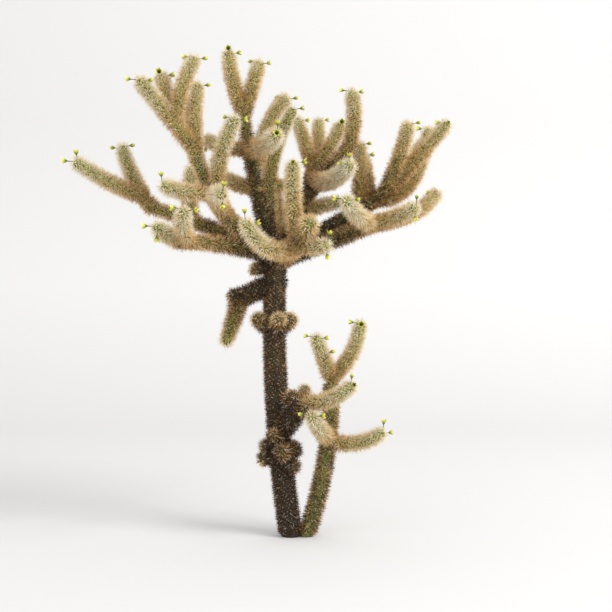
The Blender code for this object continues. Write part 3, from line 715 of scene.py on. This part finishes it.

# %% [markdown]
# A needle's colour tells its age: new ones are cream, then straw, tan and ginger, and the oldest are rust,
# umber and the pale grey ash kind. The ash kind is also set wide and bright on the old trunk as painted glints
# of needle tips. Every areole deals its needles out to these seven kinds by chance, weighted by how near the
# coat's age there is to each kind's own. So the colours blend along a limb with no picture of them anywhere.
#
# A share of the needles in every cluster is older, darker and shorter, partly the coat's real mix of ages and
# partly painted shade deep in the coat. The long pale ones show against it, and it gives the coat its depth. A
# smaller share on old skin is new and pale.

# %% Needle kinds
# name: (colour, the age at which it is commonest, how far it spreads, how common it is, how wide it is)
NEEDLES = {
    "cream": ((0.91, 0.87, 0.74), 1.0, 0.22, 1.0, 1.0),
    "straw": ((0.84, 0.70, 0.44), 0.84, 0.24, 0.9, 1.0),
    "tan": ((0.83, 0.60, 0.30), 0.64, 0.24, 1.0, 1.0),
    "ginger": ((0.64, 0.38, 0.14), 0.45, 0.20, 1.0, 1.0),
    "rust": ((0.20, 0.085, 0.032), 0.24, 0.20, 1.0, 1.0),
    "umber": ((0.040, 0.024, 0.012), 0.05, 0.24, 1.0, 1.0),
    # grey old needles, wide and bright: on the trunk they are also painted glints of needle tips
    "ash": ((0.60, 0.55, 0.46), 0.0, 0.16, 0.06, 1.6),
}
NEEDLES_EACH = {OLD: 14, DRY: 9, BOUGH: 8, YOUNG: 8}  # for each areole
SPLAY, STUB_SPLAY = 0.5, 0.9  # how far the needles of an areole lean apart
# the undercoat's darker needles are partly painted shade between the long pale ones
UNDERCOAT, UNDERCOAT_AGE = 0.1, 0.5  # this share of the needles is this much older
SHORTENING = 0.55  # how much shorter a needle is, for each unit that its kind is older than the coat
PALE_SHARE = {OLD: 0.006, DRY: 0.04, BOUGH: 0.03, YOUNG: 0.0}  # this share of the needles is new
AGE_SPREAD = 0.11
TUFT_SHARE = {OLD: 1.0, DRY: 1.1, BOUGH: 1.2, YOUNG: 1.25}  # of a tuft: how far needles pass the girth
NEEDLE_SEED = 7


def reach_of(limb, share):
    """Length of a needle that stands straight out, from the skin to about the solid's tufts."""
    return girth_at(limb, share) * (1 - FLESH_SHARE[limb.coat]) + TUFT_SHARE[limb.coat] * limb.tuft


def chance_at(age):
    """The chance of each kind of needle at each age."""
    chance = np.array([common * np.exp(-((age - peak) / spread) ** 2)
                       for _, peak, spread, common, _ in NEEDLES.values()]).T
    return chance / chance.sum(axis=1)[:, None]


rng = np.random.default_rng(NEEDLE_SEED)
clusters = {kind: {slot: [] for slot in ("old_stem", "bough_coat", "arm_coat")} for kind in NEEDLES}
for limb in LIMBS:
    places, outward, share = areoles[limb.name]
    age = np.clip(age_at(limb, share) + rng.normal(0, AGE_SPREAD, len(share)), 0, 1)
    pale = PALE_SHARE[limb.coat]
    chance = (1 - UNDERCOAT - pale) * chance_at(age) + pale * chance_at(np.ones_like(age))
    # painted shade in part: a share of each cluster is dealt out as older, darker needles
    chance += UNDERCOAT * chance_at(np.maximum(age - UNDERCOAT_AGE, 0))
    dealt = rng.multinomial(NEEDLES_EACH[limb.coat], chance)
    splay = np.full(len(share), STUB_SPLAY if limb in STUBS else SPLAY)
    for number, (kind, (_, peak, *_)) in enumerate(NEEDLES.items()):
        own = dealt[:, number] > 0
        reach = reach_of(limb, share) * (1 - SHORTENING * np.clip(age - peak, 0, 1))
        clusters[kind][slot_of(limb)].append(
            np.c_[places[own], outward[own], reach[own], splay[own], dealt[own, number]])
total = sum(rows[:, 8].sum() for by_slot in clusters.values() for lot in by_slot.values() for rows in lot)
print("needles:", int(total))

# %% [markdown]
# A needle is a long thin dart of four triangles: a root, a tip, and two corners beside the line between them,
# so it is widest a third of the way up and pointed at both ends. It is closed, so it looks right from every
# side.
#
# One Geometry Nodes tree grows every coat. It takes a cloud of areoles, each with its direction outwards, its
# reach, its splay and its number of needles. It copies each areole that many times, shifts and tilts every
# copy by chance, and stands a needle on it. The last nodes make the needles real mesh and give them their
# material.

# %% Coat of needles
LENGTH_POWER = 1.5  # most needles are of middling length, and few are the longest
ALL_WAYS = {"Min": (-1, -1, -1), "Max": (1, 1, 1)}
SHIFT_DRAW, LEAN_DRAW, LENGTH_DRAW = 11, 23, 37  # added to the seed, so the three draws differ


def needle_form():
    """A needle one metre long and one metre wide, to be scaled by its thickness and reach."""
    verts = [(-0.3, 0, 0), (-0.3, 0, 1), (0.5, 0.5, 0.36), (0.5, -0.5, 0.36)]
    faces = [(0, 2, 3), (1, 3, 2), (0, 1, 2), (0, 3, 1)]
    return new_object("needle_form", new_mesh("needle_form", verts, faces, smooth=False))


def planted(add, material, **stand):
    """The last nodes of a tree: copies stood on points, made real and given their material."""
    real = add("GeometryNodeRealizeInstances", {"Geometry": add("GeometryNodeInstanceOnPoints", stand)})
    return add("GeometryNodeSetMaterial", {"Geometry": real, "Material": material})


def needle_tree():
    tree, given, result, add = new_tree("coat of needles", "GeometryNodeTree", [
        ("Areoles", "Geometry", None), ("Needle", "Object", None), ("Thickness", "Float", 0.001),
        ("Cluster width", "Float", 0.002), ("Shortest", "Float", 0.45), ("Longest", "Float", 1.22),
        ("Material", "Material", None), ("Seed", "Int", 1),
    ], {"Needles": "Geometry"})

    def attribute(label, kind):
        return add("GeometryNodeInputNamedAttribute", {"Name": label}, data_type=kind)

    def by_chance(kind, draw, limits={}):
        seed = add("ShaderNodeMath", {0: given["Seed"], 1: draw})
        return add("FunctionNodeRandomValue", limits | {"Seed": seed}, data_type=kind)

    def scaled(vector, factor):
        return add("ShaderNodeVectorMath", {0: vector, "Scale": factor}, operation="SCALE")

    copies = add("GeometryNodeDuplicateElements", {
        "Geometry": given["Areoles"], "Amount": attribute("needles", "INT")}, domain="POINT")
    shifted = add("GeometryNodeSetPosition", {
        "Geometry": copies,
        "Offset": scaled(by_chance("FLOAT_VECTOR", SHIFT_DRAW, ALL_WAYS), given["Cluster width"])})
    lean = scaled(by_chance("FLOAT_VECTOR", LEAN_DRAW, ALL_WAYS), attribute("splay", "FLOAT"))
    leaning = add("ShaderNodeVectorMath", {0: attribute("outward", "FLOAT_VECTOR"), 1: lean})
    standing = add("FunctionNodeAlignRotationToVector", {"Vector": leaning}, axis="Z")
    length = add("ShaderNodeMath", {0: by_chance("FLOAT", LENGTH_DRAW), 1: LENGTH_POWER}, operation="POWER")
    stretch = add("ShaderNodeMapRange", {
        "Value": length, "To Min": given["Shortest"], "To Max": given["Longest"]})
    reach = add("ShaderNodeMath", {0: stretch, 1: attribute("reach", "FLOAT")}, operation="MULTIPLY")
    size = add("ShaderNodeCombineXYZ", {"X": given["Thickness"], "Y": given["Thickness"], "Z": reach})
    needle = add("GeometryNodeObjectInfo", {"Object": given["Needle"]})
    fill(result, {"Needles": planted(
        add, given["Material"], Points=shifted, Instance=needle.outputs["Geometry"], Rotation=standing,
        Scale=size)})
    return tree


COAT = needle_tree()
print("the coat's inputs:", ", ".join(item.name for item in inputs_of(COAT)))

# %% [markdown]
# A tree runs on a cloud of points that carry attributes. What it makes is copied to a plain mesh, and the
# cloud and its modifier go.
#
# The coat's tree runs once for each kind of needle and each part of the plant. A needle is four faces, so a
# piece of 45,000 stays under 200,000 triangles.

# %% Needle pieces
MOST_NEEDLES = 45000
NEEDLE_WIDTH = {"old_stem": 0.0013, "bough_coat": 0.0012, "arm_coat": 0.0012}
NEEDLE_ROUGHNESS = 0.6


def grown_piece(name, places, attributes, tree, values):
    """Runs the tree on a cloud of points and keeps what it makes. Returns the number of faces."""
    cloud = new_mesh(name, places.tolist(), [], smooth=False)
    for label, (kind, numbers) in attributes.items():
        numbers = numbers.astype(np.int32 if kind == "INT" else np.float32)
        cloud.attributes.new(label, kind, "POINT").data.foreach_set(
            "vector" if kind == "FLOAT_VECTOR" else "value", numbers.ravel())
    grower = new_object(name + "_points", cloud)
    step = grower.modifiers.new("grow", "NODES")
    step.node_group = tree
    for item in inputs_of(tree):
        if item.name in values:
            step[item.identifier] = values[item.name]
    mesh = bpy.data.meshes.new_from_object(grower.evaluated_get(bpy.context.evaluated_depsgraph_get()))
    bpy.data.objects.remove(grower)
    for label in attributes:
        if label in mesh.attributes:
            mesh.attributes.remove(mesh.attributes[label])
    mesh.name = name
    piece = new_object(name, mesh)
    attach(piece, "root")
    return len(mesh.polygons)


def needle_piece(name, rows, slot, **values):
    """Each row holds a place, a direction outwards, a reach, a splay and a number of needles."""
    attributes = {"outward": ("FLOAT_VECTOR", rows[:, 3:6]), "reach": ("FLOAT", rows[:, 6]),
                  "splay": ("FLOAT", rows[:, 7]), "needles": ("INT", rows[:, 8])}
    return grown_piece(name, rows[:, :3], attributes, COAT, values)


grown, needle = 0, needle_form()
for kind, (colour, *_, width) in NEEDLES.items():
    material = plain_material(kind + "_needles", colour, NEEDLE_ROUGHNESS, GLOSS)
    for slot, lot in clusters[kind].items():
        rows = np.concatenate(lot)
        if not len(rows):
            continue
        batch = (np.cumsum(rows[:, 8]) // MOST_NEEDLES).astype(int)
        for number in range(batch[-1] + 1):
            grown += needle_piece(
                f"{slot.split('_')[0]}_{kind}_needles_{number + 1}", rows[batch == number], slot,
                Needle=needle, Thickness=width * NEEDLE_WIDTH[slot], Material=material,
                Seed=len(bpy.data.objects))
bpy.data.objects.remove(needle)
print("faces of all needles:", grown)

# %% [markdown]
# On old skin the felt of each areole shows between its needles, as rows of small pale pads round the trunk
# and the hanging limb. A pad is a low dome of five sides. The coat's tree sets them, on about half of the
# areoles.

# %% Felt pads
PAD_HEIGHT, PAD_WIDTH = 0.0052, 0.0036  # the height is measured from the root of the bump under the pad
PAD_SHARE = 0.55  # of the areoles that still hold their felt
PAD_SIDES, PAD_RINGS = 5, [(0.5, 0), (0.42, 0.85)]  # (radius, height) of each ring, before the pad is scaled
FELT = plain_material("areole_felt", (0.74, 0.69, 0.58), 0.8)


def pad_form():
    turns = [2 * math.pi * k / PAD_SIDES for k in range(PAD_SIDES)]
    verts = [(r * math.cos(t), r * math.sin(t), z) for r, z in PAD_RINGS for t in turns] + [(0, 0, 1)]
    edges = [(k, (k + 1) % PAD_SIDES) for k in range(PAD_SIDES)]
    faces = [(a, b, b + PAD_SIDES, a + PAD_SIDES) for a, b in edges]
    faces += [(a + PAD_SIDES, b + PAD_SIDES, 2 * PAD_SIDES) for a, b in edges]
    faces.append(tuple(reversed(range(PAD_SIDES))))
    return new_object("pad_form", new_mesh("pad_form", verts, faces, smooth=False))


rows = np.concatenate([np.c_[areoles[limb.name][:2]] for limb in LIMBS if limb.coat == OLD])
rows = rows[rng.random(len(rows)) < PAD_SHARE]
rows = np.c_[rows, np.full(len(rows), PAD_HEIGHT), np.zeros(len(rows)), np.ones(len(rows))]
pad = pad_form()
faces = needle_piece("areole_felt", rows, "old_stem", Needle=pad, Thickness=PAD_WIDTH, Material=FELT, Seed=1,
                     **{"Cluster width": 0.0, "Shortest": 0.85, "Longest": 1.1})
bpy.data.objects.remove(pad)
print("felt pads:", len(rows), "with", faces, "faces")

# %% [markdown]
# The flowers stand out sideways near the ends of the arms, each on a thin stalk, and lean a little along the
# arm. One grows only where its cup has room. The room is measured to every other limb, out to its girth.

# %% Places for flowers
STALK_END, CUP_LENGTH, CUP_RADIUS = 0.031, 0.019, 0.0115  # the end is measured from the arm's middle line
BLOOM_ROOM, GIRTH_STEP = 0.012, 0.008  # the room from a cup to another limb's needles, measured at this step
BLOOM_BACK = (0.024, 0.032, 0.085)  # an arm's flowers stand this far back from its tip
BLOOM_LEAN = 0.15  # how far a flower leans along its arm, against 1 sideways
SIDES = {"E": (1, 0, 0), "W": (-1, 0, 0), "U": (0, 0, 1), "D": (0, 0, -1), "F": (0, -1, 0), "B": (0, 1, 0)}


def girth_line(limb):
    """Points along the limb, each with the girth there."""
    steps = max(2, round(length_of(limb) / GIRTH_STEP))
    reach = 1 - (TIP_SPINES + 0.6 * limb.tip_girth) / length_of(limb)
    shares = np.linspace(0, 1, steps + 1)
    return np.c_[line_at(limb, reach * shares), girth_at(limb, shares)]


def flower_places():
    """One row for each flower: its root on the arm's middle line, and its direction."""
    lines = {limb.name: girth_line(limb) for limb in LIMBS}
    rows = []
    for limb in LIMBS:
        others = np.concatenate([line for name, line in lines.items() if name != limb.name])
        for side, back in zip(limb.blooms, BLOOM_BACK):
            share = 1 - back / length_of(limb)
            root, ahead = line_at(limb, np.array([share, share + 0.01]))
            facing = np.array(SIDES[side]) + (ahead - root) / np.linalg.norm(ahead - root) * BLOOM_LEAN
            facing /= np.linalg.norm(facing)
            cup = root + facing * (STALK_END + CUP_LENGTH / 2)
            room = (np.linalg.norm(others[:, :3] - cup, axis=1) - others[:, 3]).min()
            if room > YOUNG_TUFT + BLOOM_ROOM:
                rows.append(np.r_[root, facing])
    return np.array(rows)


FLOWERS = flower_places()
print(len(FLOWERS), "flowers have room")

# %% [markdown]
# A petal is a strip of a few faces in its own outline, narrow at the foot, broad at two thirds and pointed at
# the tip. It rises out of the throat and opens outwards. An attribute runs from 0 at the foot to 1 at the
# tip, for the colour. A bud's petals are the same strip, held closed.

# %% Petals, throat and stalk
PETAL_ROWS = 6


def petal(name, length, foot, mouth, half_width, curl):
    """A petal along +Z that stands `foot` off the axis at its foot and `mouth` at its tip."""
    verts, along = [], []
    for row in range(PETAL_ROWS + 1):
        v = row / PETAL_ROWS
        widening = 0.35 + 0.65 * math.sin(math.pi * min(v / 1.25, 0.5))
        width = half_width * widening * (1 - max(0, v - 0.55) / 0.45) ** 0.7
        out = foot + (mouth - foot) * v**0.75 + curl * v**4
        for column in (-1, 0, 1):
            verts.append((out - 0.25 * width * abs(column), column * width, STALK_END + length * v))
            along.append(v)
    mesh = new_mesh(name, verts, [
        (3 * r + c, 3 * r + c + 1, 3 * r + c + 4, 3 * r + c + 3) for r in range(PETAL_ROWS) for c in (0, 1)])
    mesh.attributes.new("along", "FLOAT", "POINT").data.foreach_set("value", along)
    return mesh


def turned_form(name, outline, sides=6):
    """A closed form turned round the Z axis, from (height, radius) pairs."""
    verts = [(r * math.cos(a), r * math.sin(a), z) for z, r in outline
             for a in (2 * math.pi * k / sides for k in range(sides))]
    top = (len(outline) - 1) * sides
    faces = [(low + k, low + (k + 1) % sides, low + sides + (k + 1) % sides, low + sides + k)
             for low in range(0, top, sides) for k in range(sides)]
    return new_mesh(name, verts, faces + [tuple(range(sides))[::-1], tuple(range(top, top + sides))])


open_petal = petal("open_petal", CUP_LENGTH, 0.0028, CUP_RADIUS * 1.08, 0.0060, 0.001)
bud_petal = petal("bud_petal", CUP_LENGTH, 0.0030, CUP_RADIUS * 0.6, 0.0054, -0.002)
sepal = petal("sepal", CUP_LENGTH * 0.62, 0.0034, CUP_RADIUS * 0.74, 0.0034, 0.001)
throat = turned_form("throat", [
    (STALK_END + 0.001, 0.002), (STALK_END + 0.005, 0.0036), (STALK_END + 0.011, 0.0012)])
stalk = turned_form("stalk", [(0.008, 0.0014), (0.02, 0.0014), (0.027, 0.0017), (STALK_END + 0.001, 0.0031)])
print("faces of a petal:", len(open_petal.polygons), "and of a stalk:", len(stalk.polygons))

# %% [markdown]
# A second tree puts the flowers together. It turns copies of one petal round the stalk's axis, then stands
# that whorl at every flower's root, faced the right way and spun by chance. With a count of one it places a
# stalk or a throat as well.

# %% Whorls
SPIN_LIMIT = 6.28  # radians, a full turn


def whorl_tree():
    tree, given, result, add = new_tree("whorl on each flower", "GeometryNodeTree", [
        ("Roots", "Geometry", None), ("Petal", "Object", None), ("Petals", "Int", 5), ("Phase", "Float", 0.0),
        ("Smallest", "Float", 0.9), ("Material", "Material", None), ("Seed", "Int", 3),
    ], {"Flowers": "Geometry"})
    one = add("GeometryNodeObjectInfo", {"Object": given["Petal"]})
    axis = add("GeometryNodeMeshLine", {"Offset": (0, 0, 0), "Count": given["Petals"]})
    turn = add("ShaderNodeMath", {0: add("GeometryNodeInputIndex"), 1: given["Petals"]}, operation="DIVIDE")
    phase = add("ShaderNodeMath", {0: turn, 1: 2 * math.pi, 2: given["Phase"]}, operation="MULTIPLY_ADD")
    whorl = add("GeometryNodeInstanceOnPoints", {
        "Points": axis, "Instance": one.outputs["Geometry"],
        "Rotation": add("ShaderNodeCombineXYZ", {"Z": phase})})
    together = add("GeometryNodeRealizeInstances", {"Geometry": whorl})
    facing = add("GeometryNodeInputNamedAttribute", {"Name": "facing"}, data_type="FLOAT_VECTOR")
    faced = add("FunctionNodeAlignRotationToVector", {"Vector": facing}, axis="Z")
    chance = add("FunctionNodeRandomValue", {"Max": SPIN_LIMIT, "Seed": given["Seed"]}, data_type="FLOAT")
    spun = add("FunctionNodeRotateRotation", {
        "Rotation": faced, "Rotate By": add("ShaderNodeCombineXYZ", {"Z": chance})}, rotation_space="LOCAL")
    size = add("FunctionNodeRandomValue", {"Min": given["Smallest"], "Seed": given["Seed"]}, data_type="FLOAT")
    fill(result, {"Flowers": planted(
        add, given["Material"], Points=given["Roots"], Instance=together, Rotation=spun, Scale=size)})
    return tree


WHORL = whorl_tree()
print("the whorl's inputs:", ", ".join(item.name for item in inputs_of(WHORL)))

# %% [markdown]
# A petal is dark green in the throat, lime on its lower half and yellow at its tip. A colour ramp reads the
# attribute that was kept on the petal.

# %% Flower finishes
def petal_material(name, roughness, stops):
    """A Principled material whose colour follows the petal from foot to tip."""
    material = plain_material(name, stops[1.0], roughness)
    add = adder(material.node_tree)
    ramp = add("ShaderNodeValToRGB", {"Fac": add("ShaderNodeAttribute", attribute_name="along").outputs["Fac"]})
    elements = ramp.color_ramp.elements
    while len(elements) < len(stops):
        elements.new(0.5)
    for element, (place, colour) in zip(elements, stops.items()):
        element.position, element.color = place, (*colour, 1)
    fill(material.node_tree.nodes["Principled BSDF"], {"Base Color": ramp})
    return material


PETAL_YELLOW = petal_material("petal_yellow", 0.5, {
    0.0: (0.05, 0.09, 0.005), 0.28: (0.22, 0.28, 0.012), 0.5: (0.60, 0.60, 0.03), 1.0: (0.90, 0.83, 0.22)})
SEPAL_GREEN = petal_material("sepal_green", 0.55, {
    0.0: (0.06, 0.09, 0.02), 0.5: (0.22, 0.28, 0.02), 1.0: (0.5, 0.5, 0.05)})
THROAT_GREEN = plain_material("throat_green", (0.03, 0.05, 0.006), 0.6)
STALK_GREEN = plain_material("stalk_green", (0.09, 0.10, 0.045), 0.65)
print("petal finishes:", PETAL_YELLOW.name, SEPAL_GREEN.name)

# %% [markdown]
# Most flowers are open and a few are still closed. Each kind of petal, the throats and the stalks are joined,
# each kind apart, into one plain mesh.

# %% Flower pieces
OPEN_SHARE, OPEN_SEED = 0.72, 5


def flower_piece(name, roots, form, count, phase, material):
    source = new_object(name + "_form", form)
    faces = grown_piece(name, roots[:, :3], {"facing": ("FLOAT_VECTOR", roots[:, 3:])}, WHORL, {
        "Petal": source, "Petals": count, "Phase": phase, "Material": material})
    bpy.data.objects.remove(source)
    print(name, faces, "faces")


opened = np.random.default_rng(OPEN_SEED).random(len(FLOWERS)) < OPEN_SHARE
flower_piece("open_petals", FLOWERS[opened], open_petal, 5, 0, PETAL_YELLOW)
flower_piece("bud_petals", FLOWERS[~opened], bud_petal, 5, 0, PETAL_YELLOW)
flower_piece("sepals", FLOWERS, sepal, 5, 0.5, SEPAL_GREEN)
flower_piece("throats", FLOWERS, throat, 1, 0, THROAT_GREEN)
flower_piece("stalks", FLOWERS, stalk, 1, 0, STALK_GREEN)
